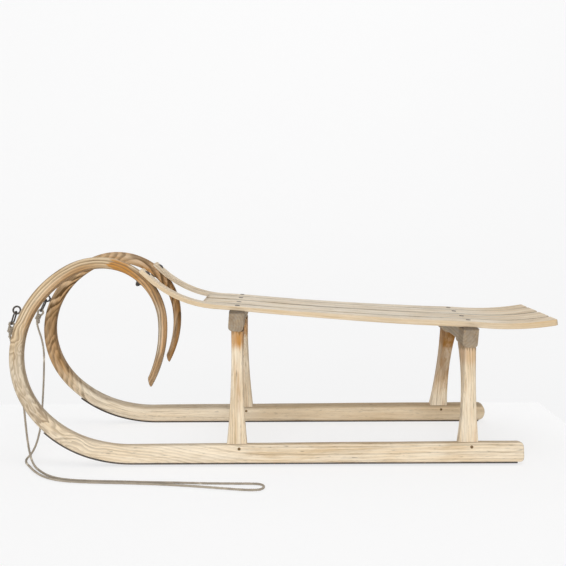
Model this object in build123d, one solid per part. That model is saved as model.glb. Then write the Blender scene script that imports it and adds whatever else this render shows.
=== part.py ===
from build123d import *
import os
from math import asin, atan2, cos, degrees, radians, sin, tan

os.makedirs("parts", exist_ok=True)

# Stance: +X is forward, +Y is left, +Z is up, and the floor is Z = 0
TRACK = 336.0                 # between the runners' centres at the floor
CANT = 10.4                   # inward lean of each runner, degrees
FIT = 0.2                     # clearance between a tenon, peg or shank and its hole

# Runner: ground length, then a chain of tangent bends up, over and down to the horn's tip
RUNNER_TAIL = -519.0
RUNNER_WIDTH = 26.0
RUNNER_TAIL_DEPTH = 43.8      # the wood is deepest at the tail
RUNNER_DEPTH = 39.8           # where the bends start
RUNNER_EDGE = 6.0             # rounding along the runner
TAIL_ROUND = 11.0
BEND_START = 327.4
# Each bend: turn in degrees, radius of the outer edge, depth of the wood where it ends
TOE_TURN = 14.3
TOE_RADIUS = 328.0
TOE_DEPTH = 38.0
SHIN_TURN = 34.8
SHIN_RADIUS = 276.0
SHIN_DEPTH = 31.3
FACE_TURN = 65.9
FACE_RADIUS = 209.0
FACE_DEPTH = 27.6
BROW_TURN = 35.8
BROW_RADIUS = 239.0
BROW_DEPTH = 27.0
CREST_TURN = 114.6
CREST_RADIUS = 150.6
CREST_DEPTH = 19.1
HORN_TURN = 32.4
HORN_RADIUS = 255.0
HORN_DEPTH = 15.4
HORN_TIP_REACH = 11.6         # straight past the last bend's outer edge
HORN_TIP_SLANT = 15.5         # the tip's outer edge runs this far past its inner edge
HORN_TIP_ROUND = 2.0
BENDS = (
    (TOE_TURN, TOE_RADIUS, TOE_DEPTH),
    (SHIN_TURN, SHIN_RADIUS, SHIN_DEPTH),
    (FACE_TURN, FACE_RADIUS, FACE_DEPTH),
    (BROW_TURN, BROW_RADIUS, BROW_DEPTH),
    (CREST_TURN, CREST_RADIUS, CREST_DEPTH),
    (HORN_TURN, HORN_RADIUS, HORN_DEPTH),
)

# Steel shoe under the runner
SHOE_WIDTH = 20.0
SHOE_THICK = 2.5
SHOE_TAIL = -504.0
SHOE_LAST_TURN = 26.0         # how far the shoe follows the second bend, degrees

# Legs
FRONT_LEG_X = 101.6
REAR_LEG_X = -399.0
REAR_LEG_RAKE = 10.0          # the rear leg's head sits this far behind its foot
LEG_FOOT = 43.5               # along the sled
LEG_WAIST = 25.0
LEG_HEAD = 28.0
LEG_WAIST_HEIGHT = 200.0
LEG_THICK = 22.0              # across the sled, at the foot
LEG_FLARE = 44.0              # how far the head spreads inward
LEG_FLARE_LENGTH = 185.0
LEG_EDGE = 3.5
TENON_THICK = 11.0
FOOT_TENON_LONG = 32.0
FOOT_TENON_DEEP = 26.0
HEAD_TENON_LONG = 20.0
HEAD_TENON_DEEP = 24.0
PEG_DIAMETER = 6.5
PEG_DROP = 10.5               # peg centre below the runner's top
PEG_PROUD = 0.8
FRONT_PEG_SHIFT = -5.0
REAR_PEG_SHIFT = -6.0

# Crossbars
BAR_WIDTH = 33.0
FRONT_BAR_HEIGHT = 44.0
REAR_BAR_HEIGHT = 43.0
BAR_OVERHANG = 3.0            # past the legs' outer faces
BAR_LOWER_EDGE = 9.0          # rounding along the bar's lower corners
BAR_UPPER_EDGE = 1.5
BAR_MIDDLE = 37.0             # height between the legs, over the arch
BAR_BLOCK = 72.0              # length of the deep block at each end

# Seat: the slats' underside is a straight between a front bend and a tail bend
SEAT_FRONT_Z = 329.3          # underside over the front crossbar
SEAT_SLOPE = 4.2              # rises forward, degrees
HORN_SLOPE = 43.0             # slope of the outer slat where it lies on the horn
HORN_HOUSING = 3.0            # depth of the flat planed on the horn for the slat
FRONT_BEND_RADIUS = 245.0     # of the underside
TAIL_BEND_RADIUS = 666.0
TAIL_BEND_START = -444.0
SLAT_THICK_FRONT = 9.5
SLAT_THICK_TAIL = 13.0
SLAT_TAIL_X = -600.5
SLAT_LAP = 17.0               # slat beyond the horn bolt
INNER_SLAT_FRONT = 183.0
CENTRE_GAP = 11.0
SLAT_GAP = 7.0
SLAT_INSET = 6.6              # the seat's edge inside the rear crossbar's end
OUTER_TAIL_WIDTH = 48.0
OUTER_HORN_WIDTH = 36.0
SLAT_CORNER = 6.0
SLAT_EDGE = 1.5

# Horn bolt
BOLT_DIAMETER = 6.0
BOLT_HEAD = 15.0
BOLT_HEAD_RISE = 3.5
NUT_ACROSS = 10.0
NUT_HEIGHT = 5.0
WASHER_DIAMETER = 16.0
WASHER_THICK = 1.5
BOLT_TAIL = 3.0

# Screw eye, link and tow rope
EYE_HEADING = 116.5           # where the eye sits, as the outer edge's heading in degrees
EYE_RADIUS = 8.0
EYE_WIRE = 4.0
EYE_COLLAR = 10.0
EYE_COLLAR_THICK = 2.0
EYE_SHANK_DEEP = 24.0
LINK_WIRE = 3.5
LINK_WIDTH = 16.0
LINK_LENGTH = 32.0
LINK_LEAN = (18.0, -13.0, -43.0)
ROPE_DIAMETER = 5.0
LOOP_RADIUS = 6.5
KNOT_RADIUS = 6.5
KNOT_LENGTH = 15.0
ROPE_LEAD = 8.0               # straight rope below each knot
LIE = ROPE_DIAMETER / 2 + 0.1  # height of the rope's centre where it lies on the floor
# Waypoints from the left knot to the floor, round the bight and back to the right knot
ROPE_ROUTE = (
    (600.0, 90.0, 222.0),
    (590.0, 94.0, 172.0),
    (578.0, 113.0, 113.0),
    (567.0, 134.0, 52.0),
    (553.0, 157.0, 14.0),
    (537.0, 181.0, LIE),
    (518.0, 209.0, LIE),
    (490.0, 241.0, LIE),
    (452.0, 263.0, LIE),
    (397.0, 272.0, LIE),
    (337.0, 275.5, LIE),
    (277.0, 280.5, LIE),
    (217.0, 283.5, LIE),
    (160.0, 288.0, LIE),
    (115.0, 289.5, LIE),
    (78.0, 290.5, LIE),
    (50.0, 291.5, LIE),
    (40.0, 301.5, LIE),
    (40.0, 315.6, LIE),
    (50.0, 325.6, LIE),
    (78.0, 325.0, LIE),
    (126.0, 314.5, LIE),
    (180.0, 303.5, LIE),
    (237.0, 294.0, LIE),
    (295.0, 287.5, LIE),
    (350.0, 283.0, LIE),
    (404.0, 279.5, LIE),
    (457.0, 270.5, LIE),
    (498.0, 247.0, LIE),
    (527.0, 213.5, LIE),
    (546.0, 184.0, LIE),
    (562.0, 160.5, LIE),
    (570.0, 136.0, LIE),
    (568.0, 106.0, 4.0),
    (566.0, 73.0, 17.0),
    (569.0, 29.0, 46.0),
    (577.0, -15.0, 93.0),
    (584.0, -55.0, 155.0),
    (590.0, -82.0, 218.0),
)

# The left runner's own frame: x forward, y up the lean, z inward
SHOE_LIFT = SHOE_WIDTH / 2 * sin(radians(CANT))
RUNNER_FRAME = Plane(
    origin=(0, TRACK / 2, SHOE_LIFT),
    x_dir=(1, 0, 0),
    z_dir=(0, -cos(radians(CANT)), -sin(radians(CANT))),
)
RUNNER_BOTTOM = SHOE_THICK
RUNNER_TOP = RUNNER_BOTTOM + RUNNER_DEPTH


def heading(angle):
    return Vector(cos(radians(angle)), sin(radians(angle)))


def outward(angle):
    return Vector(sin(radians(angle)), -cos(radians(angle)))


def runner_top(x):
    """Height of the runner's top on the straight, which tapers from the tail to the bends."""
    share = (BEND_START - x) / (BEND_START - RUNNER_TAIL)
    return RUNNER_TOP + share * (RUNNER_TAIL_DEPTH - RUNNER_DEPTH)


def to_left(solid):
    return RUNNER_FRAME.location * solid


def mirrored(solid):
    return mirror(solid, about=Plane.XZ)


def inner_radii():
    """Inner-edge radius of each bend, so that the wood has the given depth where the bend ends."""
    steps = []
    radii = []
    total = 0.0
    last = RUNNER_DEPTH
    for turn, radius, depth in BENDS:
        total += turn
        rest = sum(step * cos(radians(total - start)) for step, start in steps)
        share = cos(radians(turn))
        offset = (depth - rest - last * share) / (1 - share)
        steps.append((last - offset, total - turn))
        radii.append(radius - offset)
        last = offset
    return radii


def bend_edge(start, angle, turn, radius):
    """One arc that turns left from a start point and heading; gives the edge and its end."""
    centre = start - outward(angle) * radius
    middle = centre + outward(angle + turn / 2) * radius
    end = centre + outward(angle + turn) * radius
    return ThreePointArc(start, middle, end), end


def bend_chain(start, radii, turns):
    edges = []
    angle = 0.0
    point = start
    for radius, turn in zip(radii, turns):
        edge, point = bend_edge(point, angle, turn, radius)
        edges.append(edge)
        angle += turn
    return edges, point


def outer_point(wanted):
    """Point on the runner's outer edge where its heading is the wanted angle."""
    angle = 0.0
    point = Vector(BEND_START, RUNNER_BOTTOM)
    for turn, radius, depth in BENDS:
        part = min(turn, wanted - angle)
        if part <= 0:
            break
        edge, point = bend_edge(point, angle, part, radius)
        angle += part
    return point


TURNS = [row[0] for row in BENDS]
OUTER_RADII = [row[1] for row in BENDS]
INNER_RADII = inner_radii()


def runner_blank():
    outer, outer_tip = bend_chain(Vector(BEND_START, RUNNER_BOTTOM), OUTER_RADII, TURNS)
    inner, inner_tip = bend_chain(Vector(BEND_START, RUNNER_TOP), INNER_RADII, TURNS)
    last = sum(TURNS)
    onward = heading(last)
    lead = (inner_tip - outer_tip).dot(onward)
    outer_end = outer_tip + onward * (HORN_TIP_REACH + max(lead, 0))
    inner_end = inner_tip + onward * (HORN_TIP_REACH + max(-lead, 0))
    sole = Line((RUNNER_TAIL, RUNNER_BOTTOM), (BEND_START, RUNNER_BOTTOM))
    tail_top = Vector(RUNNER_TAIL, runner_top(RUNNER_TAIL))
    top = Line(tail_top, (BEND_START, RUNNER_TOP))
    tail = Line((RUNNER_TAIL, RUNNER_BOTTOM), tail_top)
    horn_end = [Line(outer_tip, outer_end), Line(outer_end, inner_end), Line(inner_end, inner_tip)]
    face = make_face([sole, *outer, *horn_end, *inner, top, tail])
    ends = face.vertices().filter_by(lambda v: v.X < RUNNER_TAIL + FIT)
    face = fillet(ends, TAIL_ROUND)
    blank = extrude(face, RUNNER_WIDTH / 2, both=True)
    long_edges = blank.faces().filter_by(Axis.Z).edges()
    end_middle = (outer_end + inner_end) / 2
    blank = fillet([e for e in long_edges if (e @ 0.5 - end_middle).length > RUNNER_WIDTH], RUNNER_EDGE)
    tip = outer_tip + onward * HORN_TIP_REACH
    slant = degrees(atan2(HORN_TIP_SLANT, HORN_DEPTH))
    waste = Box(
        6 * HORN_DEPTH, 4 * HORN_DEPTH, 2 * RUNNER_WIDTH, align=(Align.CENTER, Align.MIN, Align.CENTER)
    )
    blank = blank - Pos(tip.X, tip.Y) * Rot(0, 0, last - 90 + slant) * waste
    past = heading(last + slant)
    cut = blank.faces().filter_by(GeomType.PLANE).sort_by(lambda f: f.normal_at().dot(past))[-1]
    return fillet(cut.edges(), HORN_TIP_ROUND)


# Seat lines, worked out in the X-Z plane and then used as sketches on that plane
HORN_POINT = outer_point(180 + HORN_SLOPE)
HORN_WORLD = RUNNER_FRAME.from_local_coords(Vector(HORN_POINT.X, HORN_POINT.Y, 0))
SEAT_FRAME = Plane(
    origin=(FRONT_LEG_X, 0, SEAT_FRONT_Z),
    x_dir=(cos(radians(SEAT_SLOPE)), 0, sin(radians(SEAT_SLOPE))),
    z_dir=(-sin(radians(SEAT_SLOPE)), 0, cos(radians(SEAT_SLOPE))),
)
SIDE = Plane(origin=(0, 0, 0), x_dir=(1, 0, 0), z_dir=(0, -1, 0))


def seat_z(x):
    """Height of the slats' underside on its straight."""
    return SEAT_FRONT_Z + (x - FRONT_LEG_X) * tan(radians(SEAT_SLOPE))


def rise(angle):
    """Unit vector square to a line that slopes up forward by an angle, pointing up."""
    return Vector(-sin(radians(angle)), cos(radians(angle)))


HORN_FOOT = Vector(HORN_WORLD.X, HORN_WORLD.Z) - rise(HORN_SLOPE) * HORN_HOUSING


def front_bend_centre():
    """Centre of the arc that is tangent to the seat straight and to the slope on the horn."""
    seat = Vector(FRONT_LEG_X, SEAT_FRONT_Z) + rise(SEAT_SLOPE) * FRONT_BEND_RADIUS
    horn = HORN_FOOT + rise(HORN_SLOPE) * FRONT_BEND_RADIUS
    gap = horn - seat
    across = heading(SEAT_SLOPE)
    up = heading(HORN_SLOPE)
    turn = across.X * up.Y - across.Y * up.X
    along = (gap.X * up.Y - gap.Y * up.X) / turn
    return seat + across * along


FRONT_CENTRE = front_bend_centre()
TAIL_CENTRE = Vector(TAIL_BEND_START, seat_z(TAIL_BEND_START)) + rise(SEAT_SLOPE) * TAIL_BEND_RADIUS
TOP_FRONT_RADIUS = FRONT_BEND_RADIUS - SLAT_THICK_FRONT
TOP_TAIL_RADIUS = TAIL_BEND_RADIUS - SLAT_THICK_TAIL


def top_slope():
    """Slope of the seat's top: the line that touches both bends of the upper face."""
    span = FRONT_CENTRE - TAIL_CENTRE
    tilt = degrees(atan2(span.Y, span.X))
    return tilt - degrees(asin((TOP_FRONT_RADIUS - TOP_TAIL_RADIUS) / span.length))


TOP_SLOPE = top_slope()


def slat_face(swept):
    """Side outline of a slat: swept up to the horn, or straight to the inner slats' front."""
    tail_turn = degrees(asin((TAIL_CENTRE.X - SLAT_TAIL_X) / TOP_TAIL_RADIUS))
    tail_low = TAIL_CENTRE - rise(-tail_turn) * TAIL_BEND_RADIUS
    tail_top = TAIL_CENTRE - rise(-tail_turn) * TOP_TAIL_RADIUS
    low_start = TAIL_CENTRE - rise(SEAT_SLOPE) * TAIL_BEND_RADIUS
    top_start = TAIL_CENTRE - rise(TOP_SLOPE) * TOP_TAIL_RADIUS
    low_mid = TAIL_CENTRE - rise((SEAT_SLOPE - tail_turn) / 2) * TAIL_BEND_RADIUS
    top_mid = TAIL_CENTRE - rise((TOP_SLOPE - tail_turn) / 2) * TOP_TAIL_RADIUS
    edges = [
        Line(tail_low, tail_top),
        ThreePointArc(tail_low, low_mid, low_start),
        ThreePointArc(tail_top, top_mid, top_start),
    ]
    low_bend = FRONT_CENTRE - rise(SEAT_SLOPE) * FRONT_BEND_RADIUS
    top_bend = FRONT_CENTRE - rise(TOP_SLOPE) * TOP_FRONT_RADIUS
    if swept:
        low_end = FRONT_CENTRE - rise(HORN_SLOPE) * FRONT_BEND_RADIUS
        top_end = FRONT_CENTRE - rise(HORN_SLOPE) * TOP_FRONT_RADIUS
        low_turn = FRONT_CENTRE - rise((SEAT_SLOPE + HORN_SLOPE) / 2) * FRONT_BEND_RADIUS
        top_turn = FRONT_CENTRE - rise((TOP_SLOPE + HORN_SLOPE) / 2) * TOP_FRONT_RADIUS
        tip_low = HORN_FOOT + heading(HORN_SLOPE) * SLAT_LAP
        tip_top = tip_low + rise(HORN_SLOPE) * SLAT_THICK_FRONT
        edges += [
            Line(low_start, low_bend),
            Line(top_start, top_bend),
            ThreePointArc(low_bend, low_turn, low_end),
            ThreePointArc(top_bend, top_turn, top_end),
            Line(low_end, tip_low),
            Line(top_end, tip_top),
            Line(tip_low, tip_top),
        ]
    else:
        low_tip = Vector(INNER_SLAT_FRONT, seat_z(INNER_SLAT_FRONT))
        run = (INNER_SLAT_FRONT - top_start.X) / cos(radians(TOP_SLOPE))
        top_tip = top_start + heading(TOP_SLOPE) * run
        edges += [
            Line(low_start, low_tip),
            Line(top_start, top_tip),
            Line(low_tip, top_tip),
        ]
    return SIDE * make_face(edges)


def slat(swept, plan):
    """A slat from its side outline and its plan, as corner points from tail to front."""
    board = extrude(slat_face(swept), TRACK / 2, both=True)
    sheet = make_face(Polyline(*plan, close=True))
    sheet = fillet(sheet.vertices(), SLAT_CORNER)
    board = board & extrude(sheet, 2 * SEAT_FRONT_Z)
    return fillet(board.edges(), SLAT_EDGE)


def leg_solid(foot_x, rake, head):
    """A leg in the runner's frame: waisted along the sled and flared inward at the head."""
    foot = runner_top(foot_x)
    fore_foot = Vector(foot_x + LEG_FOOT / 2, runner_top(foot_x + LEG_FOOT / 2))
    aft_foot = Vector(foot_x - LEG_FOOT / 2, runner_top(foot_x - LEG_FOOT / 2))
    waist_x = foot_x - rake * (LEG_WAIST_HEIGHT - foot) / (head - foot)
    head_x = foot_x - rake
    over = head + BAR_WIDTH
    fore_head = Vector(head_x + LEG_HEAD / 2, over)
    aft_head = Vector(head_x - LEG_HEAD / 2, over)
    fore = ThreePointArc(fore_foot, (waist_x + LEG_WAIST / 2, LEG_WAIST_HEIGHT), fore_head)
    aft = ThreePointArc(aft_foot, (waist_x - LEG_WAIST / 2, LEG_WAIST_HEIGHT), aft_head)
    sides = [Line(aft_foot, fore_foot), fore, Line(aft_head, fore_head), aft]
    along = extrude(make_face(sides), TRACK / 4, both=True)
    half = LEG_THICK / 2
    low = RUNNER_BOTTOM
    flare_start = head - LEG_FLARE_LENGTH
    outline = [
        Line((-half, low), (half, low)),
        Line((half, low), (half, flare_start)),
        TangentArc((half, flare_start), (half + LEG_FLARE, head), tangent=(0, 1)),
        Line((half + LEG_FLARE, head), (half + LEG_FLARE, over)),
        Line((half + LEG_FLARE, over), (-half, over)),
        Line((-half, over), (-half, low)),
    ]
    across_plane = Plane(origin=(0, 0, 0), x_dir=(0, 0, 1), z_dir=(-1, 0, 0))
    across = extrude(across_plane * make_face(outline), -SLAT_TAIL_X, both=True)
    leg = along & across
    long_edges = leg.edges().filter_by(lambda e: e.length > LEG_FLARE_LENGTH / 2)
    return fillet(long_edges, LEG_EDGE)


def bar_frame(x):
    """Frame on the slats' underside over a crossbar, square to the seat."""
    plane = SEAT_FRAME
    return Plane(origin=(x, 0, seat_z(x)), x_dir=plane.x_dir, z_dir=plane.z_dir)


def head_height(x, bar_height):
    """How far up the leg's lean the crossbar's underside lies."""
    return (seat_z(x) - bar_height - SHOE_LIFT) / cos(radians(CANT))


def bar_half(head):
    """Half the crossbar's length: the leg's outer face at its head, and the overhang."""
    lean = TRACK / 2 - head * sin(radians(CANT))
    return lean + LEG_THICK / 2 / cos(radians(CANT)) + BAR_OVERHANG


def tenon_box(x, low, high, long, slack):
    """A tenon in the runner's frame, or the mortise for it where there is slack."""
    block = Box(long + 2 * slack, high - low, TENON_THICK + 2 * slack)
    return Pos(x, (low + high) / 2, 0) * block


def peg_rod(x, slack, length):
    rod = Cylinder(PEG_DIAMETER / 2 + slack, length)
    return Pos(x, runner_top(x) - PEG_DROP, 0) * rod


def bar_solid(half_length, height):
    """A crossbar under the seat: deep blocks over the legs and an arch between them."""
    block = half_length - BAR_BLOCK
    spring = height - BAR_MIDDLE
    arch = block - spring
    knee = spring * cos(radians(45))
    side = Plane(origin=(0, 0, 0), x_dir=(0, 1, 0), z_dir=(1, 0, 0))
    outline = [
        Line((-half_length, 0), (half_length, 0)),
        Line((half_length, 0), (half_length, -height)),
        Line((half_length, -height), (block, -height)),
        ThreePointArc((block, -height), (arch + knee, knee - height), (arch, -BAR_MIDDLE)),
        Line((arch, -BAR_MIDDLE), (-arch, -BAR_MIDDLE)),
        ThreePointArc((-arch, -BAR_MIDDLE), (-arch - knee, knee - height), (-block, -height)),
        Line((-block, -height), (-half_length, -height)),
        Line((-half_length, -height), (-half_length, 0)),
    ]
    bar = extrude(side * make_face(outline), BAR_WIDTH / 2, both=True)
    fronts = bar.faces().filter_by(Axis.X)
    ends = half_length - FIT
    lower = fronts.edges().filter_by(lambda e: (e @ 0.5).Z < -FIT and abs((e @ 0.5).Y) < ends)
    bar = fillet(lower, BAR_LOWER_EDGE)
    upper = bar.edges().filter_by(Axis.Y).filter_by(lambda e: (e @ 0.5).Z > -FIT)
    return fillet(upper, BAR_UPPER_EDGE)


LEGS = {
    "front": (FRONT_LEG_X, 0.0, FRONT_BAR_HEIGHT, FRONT_PEG_SHIFT),
    "rear": (REAR_LEG_X, REAR_LEG_RAKE, REAR_BAR_HEIGHT, REAR_PEG_SHIFT),
}

nodes = {}
runner = runner_blank()

# Legs, pegs and crossbars, with their mortises cut in the runner and the bar
for place, (foot_x, rake, bar_height, peg_shift) in LEGS.items():
    bar_x = foot_x - rake
    head = head_height(bar_x, bar_height)
    half_length = bar_half(head)
    frame = bar_frame(bar_x)
    bar = frame.location * bar_solid(half_length, bar_height)
    above = Pos(0, 0, -bar_height) * Box(
        4 * BAR_WIDTH, TRACK, 4 * bar_height, align=(Align.CENTER, Align.CENTER, Align.MIN)
    )
    leg = to_left(leg_solid(foot_x, rake, head)) - frame.location * above
    foot = runner_top(foot_x)
    low = foot - FOOT_TENON_DEEP
    foot_tenon = tenon_box(foot_x, low, foot + LEG_EDGE, FOOT_TENON_LONG, 0)
    head_tenon = tenon_box(bar_x, head - TENON_THICK, head + HEAD_TENON_DEEP, HEAD_TENON_LONG, 0)
    peg_x = foot_x + peg_shift
    drill = peg_rod(peg_x, FIT, 2 * RUNNER_WIDTH)
    leg = leg + to_left(foot_tenon - drill) + to_left(head_tenon)
    mortise = tenon_box(foot_x, low - FIT, foot + LEG_EDGE, FOOT_TENON_LONG, FIT)
    runner = runner - mortise - drill
    socket = to_left(
        tenon_box(bar_x, head - TENON_THICK, head + HEAD_TENON_DEEP + FIT, HEAD_TENON_LONG, FIT)
    )
    bar = bar - socket - mirrored(socket)
    peg = to_left(peg_rod(peg_x, 0, RUNNER_WIDTH + 2 * PEG_PROUD))
    nodes[f"leg_{place}_left"] = leg
    nodes[f"leg_{place}_right"] = mirrored(leg)
    nodes[f"peg_{place}_left"] = peg
    nodes[f"peg_{place}_right"] = mirrored(peg)
    nodes[f"crossbar_{place}"] = bar

# Shoe: the runner's outer edge, offset by the steel's thickness
shoe_turns = [TOE_TURN, SHOE_LAST_TURN]
wood_edges, wood_end = bend_chain(Vector(BEND_START, RUNNER_BOTTOM), OUTER_RADII[:2], shoe_turns)
steel_radii = [radius + SHOE_THICK for radius in OUTER_RADII[:2]]
steel_edges, steel_end = bend_chain(Vector(BEND_START, 0), steel_radii, shoe_turns)
shoe_face = make_face([
    Line((SHOE_TAIL, 0), (BEND_START, 0)),
    *steel_edges,
    Line(steel_end, wood_end),
    *wood_edges,
    Line((BEND_START, RUNNER_BOTTOM), (SHOE_TAIL, RUNNER_BOTTOM)),
    Line((SHOE_TAIL, RUNNER_BOTTOM), (SHOE_TAIL, 0)),
])
shoe = to_left(extrude(shoe_face, SHOE_WIDTH / 2, both=True))
nodes["shoe_left"] = shoe
nodes["shoe_right"] = mirrored(shoe)

# Screw eye on the front of the loop, in the runner's frame
eye_foot = outer_point(EYE_HEADING)
eye_out = outward(EYE_HEADING)
eye_frame = Plane(
    origin=(eye_foot.X, eye_foot.Y, 0),
    x_dir=(0, 0, 1),
    z_dir=(eye_out.X, eye_out.Y, 0),
)
ring_off = EYE_COLLAR_THICK + EYE_RADIUS + EYE_WIRE / 4
ring_centre = eye_foot + eye_out * ring_off
collar = Cylinder(EYE_COLLAR / 2, EYE_COLLAR_THICK, align=(Align.CENTER, Align.CENTER, Align.MIN))
shank_up = Align.CENTER, Align.CENTER, Align.MAX
shank = Cylinder(EYE_WIRE / 2, EYE_SHANK_DEEP, align=shank_up)
shank_hole = Cylinder(EYE_WIRE / 2 + FIT, EYE_SHANK_DEEP + FIT, align=shank_up)
seat_cut = Cylinder(EYE_COLLAR / 2 + FIT, EYE_WIRE, align=(Align.CENTER, Align.CENTER, Align.MIN))
ring = Pos(ring_centre.X, ring_centre.Y, 0) * Torus(EYE_RADIUS, EYE_WIRE / 2)
eye = to_left(ring + eye_frame.location * (collar + shank))
runner = runner - eye_frame.location * (shank_hole + seat_cut)
nodes["eye_left"] = eye
nodes["eye_right"] = mirrored(eye)

# Link, hung in the eye and leaning forward and inward
link_down = Vector(*LINK_LEAN).normalized()
link_across = Vector(0, 1, 0)
link_face = link_across.cross(link_down).normalized()
link_across = link_down.cross(link_face)
ring_world = RUNNER_FRAME.from_local_coords(Vector(ring_centre.X, ring_centre.Y, 0))
in_ring = link_down - RUNNER_FRAME.z_dir * link_down.dot(RUNNER_FRAME.z_dir)
eye_low = ring_world + in_ring.normalized() * EYE_RADIUS
wire_gap = (EYE_WIRE + LINK_WIRE) / 2 + FIT
link_top = eye_low - link_down * wire_gap
link_middle = link_top + link_down * (LINK_LENGTH / 2)
link_plane = Plane(origin=link_middle, x_dir=link_down, z_dir=link_face)
link_path = (link_plane * SlotCenterToCenter(LINK_LENGTH - LINK_WIDTH, LINK_WIDTH)).face().outer_wire()
link_section = Plane(origin=link_path @ 0, z_dir=link_path % 0) * Circle(LINK_WIRE / 2)
link = sweep(link_section, path=link_path)
nodes["link_left"] = link
nodes["link_right"] = mirrored(link)

# Rope loop and knot below the link
link_low = link_top + link_down * LINK_LENGTH
loop_centre = link_low + link_down * (LOOP_RADIUS - (ROPE_DIAMETER + LINK_WIRE) / 2 - FIT)
loop_plane = Plane(origin=loop_centre, x_dir=link_down, z_dir=link_across)
loop = loop_plane.location * Torus(LOOP_RADIUS, ROPE_DIAMETER / 2)
knot_top = loop_centre + link_down * (LOOP_RADIUS - ROPE_DIAMETER / 2)
knot_plane = Plane(origin=knot_top, x_dir=link_across, z_dir=link_down)
knot_body = Cylinder(KNOT_RADIUS, KNOT_LENGTH, align=(Align.CENTER, Align.CENTER, Align.MIN))
knot_body = fillet(knot_body.edges().filter_by(GeomType.CIRCLE), KNOT_RADIUS - ROPE_DIAMETER / 2 - 0.5)
knot = loop + knot_plane.location * knot_body
nodes["rope_knot_left"] = knot
nodes["rope_knot_right"] = mirrored(knot)

# Tow rope: straight runs with an arc at each waypoint
rope_start = knot_top + link_down * KNOT_LENGTH
rope_end = Vector(rope_start.X, -rope_start.Y, rope_start.Z)
lead = link_down * ROPE_LEAD
lead_end = Vector(lead.X, -lead.Y, lead.Z)
rope_points = [rope_start, rope_start + lead]
rope_points += [Vector(*point) for point in ROPE_ROUTE]
rope_points += [rope_end + lead_end, rope_end]


def rope_wire(points):
    """Straight runs joined by the widest arc that leaves a little straight between corners."""
    edges = []
    last = points[0]
    for before, corner, after in zip(points, points[1:], points[2:]):
        back = (before - corner).normalized()
        on = (after - corner).normalized()
        reach = 0.45 * min((before - corner).length, (after - corner).length)
        start = corner + back * reach
        end = corner + on * reach
        half = radians(180 - back.get_angle(on)) / 2
        radius = reach / tan(half)
        bisector = (back + on).normalized()
        middle = corner + bisector * (radius / cos(half) - radius)
        edges.append(Line(last, start))
        edges.append(ThreePointArc(start, middle, end))
        last = end
    edges.append(Line(last, points[-1]))
    return Wire(edges)


rope_path = rope_wire(rope_points)
rope_section = Plane(origin=rope_path @ 0, z_dir=rope_path % 0) * Circle(ROPE_DIAMETER / 2)
nodes["tow_rope"] = sweep(rope_section, path=rope_path)

# Horn bolt: square to the slat where it lies on the horn
bolt_frame = Plane(
    origin=(HORN_FOOT.X, HORN_WORLD.Y, HORN_FOOT.Y),
    x_dir=(0, 1, 0),
    z_dir=(-sin(radians(HORN_SLOPE)), 0, cos(radians(HORN_SLOPE))),
)
horn_cut = Box(
    2 * OUTER_HORN_WIDTH,
    4 * OUTER_HORN_WIDTH,
    2 * OUTER_HORN_WIDTH,
    align=(Align.CENTER, Align.CENTER, Align.MIN),
)
bolt_hole = Cylinder(BOLT_DIAMETER / 2 + FIT, 4 * OUTER_HORN_WIDTH)
horn_depth = (BROW_DEPTH + CREST_DEPTH) / 2 - HORN_HOUSING - WASHER_THICK
nut_seat = -horn_depth
washer_pocket = Pos(0, 0, nut_seat) * Cylinder(
    WASHER_DIAMETER / 2 + FIT, OUTER_HORN_WIDTH, align=(Align.CENTER, Align.CENTER, Align.MAX)
)
runner = to_left(runner)
runner = runner - bolt_frame.location * (horn_cut + bolt_hole + washer_pocket)
nodes["runner_left"] = runner
nodes["runner_right"] = mirrored(runner)

shank_length = SLAT_THICK_FRONT + horn_depth + WASHER_THICK + NUT_HEIGHT + BOLT_TAIL
shank = Pos(0, 0, SLAT_THICK_FRONT) * Cylinder(BOLT_DIAMETER / 2, shank_length, align=shank_up)
dome_radius = (BOLT_HEAD**2 / 4 + BOLT_HEAD_RISE**2) / (2 * BOLT_HEAD_RISE)
dome = Pos(0, 0, SLAT_THICK_FRONT + BOLT_HEAD_RISE - dome_radius) * Sphere(dome_radius)
over_slat = Pos(0, 0, SLAT_THICK_FRONT) * Box(
    2 * BOLT_HEAD, 2 * BOLT_HEAD, 2 * BOLT_HEAD, align=(Align.CENTER, Align.CENTER, Align.MIN)
)
bolt = bolt_frame.location * (shank + (dome & over_slat))
nodes["horn_bolt_left"] = bolt
nodes["horn_bolt_right"] = mirrored(bolt)
washer = Pos(0, 0, nut_seat) * Cylinder(WASHER_DIAMETER / 2, WASHER_THICK, align=shank_up)
hexagon = RegularPolygon(NUT_ACROSS / 2, 6, major_radius=False)
nut = washer + Pos(0, 0, nut_seat - WASHER_THICK) * extrude(hexagon, -NUT_HEIGHT)
nut = nut - bolt_hole
nut = bolt_frame.location * nut
nodes["horn_nut_left"] = nut
nodes["horn_nut_right"] = mirrored(nut)

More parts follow.
